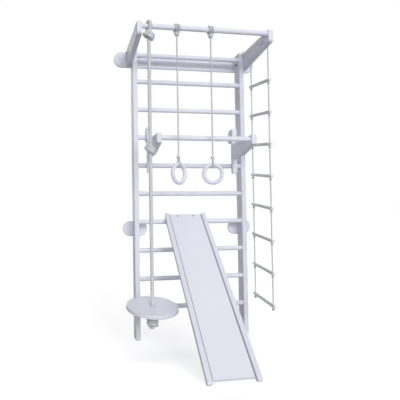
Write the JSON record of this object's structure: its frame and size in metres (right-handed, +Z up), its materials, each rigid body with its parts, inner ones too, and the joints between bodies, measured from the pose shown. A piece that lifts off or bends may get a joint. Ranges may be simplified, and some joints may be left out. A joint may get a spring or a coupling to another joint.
{
  "type": "indoor climbing frame",
  "caption": "Wall bars with top arms, climbing rope with a disc seat, two rings, a rope ladder, a hook-on pull-up bar and a hook-on slide.",
  "frame": {"origin": "on the floor, at the middle of the footprint of the frame and the slide", "axes": "+X along the rungs, to the right as one faces the bars; +Y towards the wall; +Z up"},
  "size_m": [1.15, 1.2189, 2.2379],
  "materials": {
    "painted_wood": "white satin paint",
    "rope": "pale twisted fibre",
    "steel": "zinc plated"
  },
  "bodies": {
    "frame": {"upright_left": "painted_wood", "upright_right": "painted_wood", "rung_01": "painted_wood", "rung_02": "painted_wood", "rung_03": "painted_wood", "rung_04": "painted_wood", "rung_05": "painted_wood", "rung_06": "painted_wood", "rung_07": "painted_wood", "rung_08": "painted_wood", "rung_09": "painted_wood", "rung_10": "painted_wood", "wall_batten": "painted_wood", "wall_plate_left": "painted_wood", "wall_plate_right": "painted_wood", "arm_left": "painted_wood", "arm_right": "painted_wood", "top_bar": "painted_wood", "arm_bolt_left_upper": "steel", "arm_bolt_left_lower": "steel", "arm_bolt_right_upper": "steel", "arm_bolt_right_lower": "steel", "arm_nut_left_upper": "steel", "arm_nut_left_lower": "steel", "arm_nut_right_upper": "steel", "arm_nut_right_lower": "steel", "ladder_anchor_front": "rope", "ladder_anchor_back": "rope"},
    "rope_ladder": {"ladder_rope_front": "rope", "ladder_rope_back": "rope", "ladder_rung_1": "painted_wood", "ladder_rung_2": "painted_wood", "ladder_rung_3": "painted_wood", "ladder_rung_4": "painted_wood", "ladder_rung_5": "painted_wood", "ladder_rung_6": "painted_wood", "ladder_rung_7": "painted_wood", "ladder_rung_8": "painted_wood"},
    "rope_and_seat": {"climbing_rope_eye": "rope", "climbing_rope": "rope", "disc_seat": "painted_wood"},
    "left_ring": {"ring_wrap_left": "rope", "ring_rope_left": "rope", "ring_loop_left": "rope", "ring_left": "painted_wood"},
    "right_ring": {"ring_wrap_right": "rope", "ring_rope_right": "rope", "ring_loop_right": "rope", "ring_right": "painted_wood"},
    "pull_up": {"pull_up_bar": "painted_wood", "pull_up_hook_left": "painted_wood", "pull_up_hook_right": "painted_wood", "pull_up_gusset_left": "painted_wood", "pull_up_gusset_right": "painted_wood"},
    "slide": {"slide_deck": "painted_wood", "slide_rail_left": "painted_wood", "slide_rail_right": "painted_wood", "slide_hook_left": "painted_wood", "slide_hook_right": "painted_wood"}
  },
  "joints": [
    {"name": "climbing_rope_swing", "type": "hinge", "parent": "frame", "child": "rope_and_seat", "pos_m": [-0.3983, 0.00717, 2.196], "axis": [1, 0, 0], "range_deg": [-45, 8.5]},
    {"name": "left_ring_swing", "type": "hinge", "parent": "frame", "child": "left_ring", "pos_m": [-0.206, 0.00717, 2.196], "axis": [1, 0, 0], "range_deg": [-45, 3]},
    {"name": "right_ring_swing", "type": "hinge", "parent": "frame", "child": "right_ring", "pos_m": [0.032, 0.00717, 2.196], "axis": [1, 0, 0], "range_deg": [-45, 3]},
    {"name": "ladder_swing", "type": "hinge", "parent": "frame", "child": "rope_ladder", "pos_m": [0.4903, 0.10317, 2.162], "axis": [0, -0.9921, -0.1252], "range_deg": [-1.5, 60]},
    {"name": "pull_up_swing", "type": "hinge", "parent": "frame", "child": "pull_up", "pos_m": [0, 0.49517, 1.53], "axis": [-1, 0, 0], "range_deg": [0, 60]},
    {"name": "slide_lift", "type": "hinge", "parent": "frame", "child": "slide", "pos_m": [0, 0.49517, 0.885], "axis": [-1, 0, 0], "range_deg": [0, 50]}
  ]
}
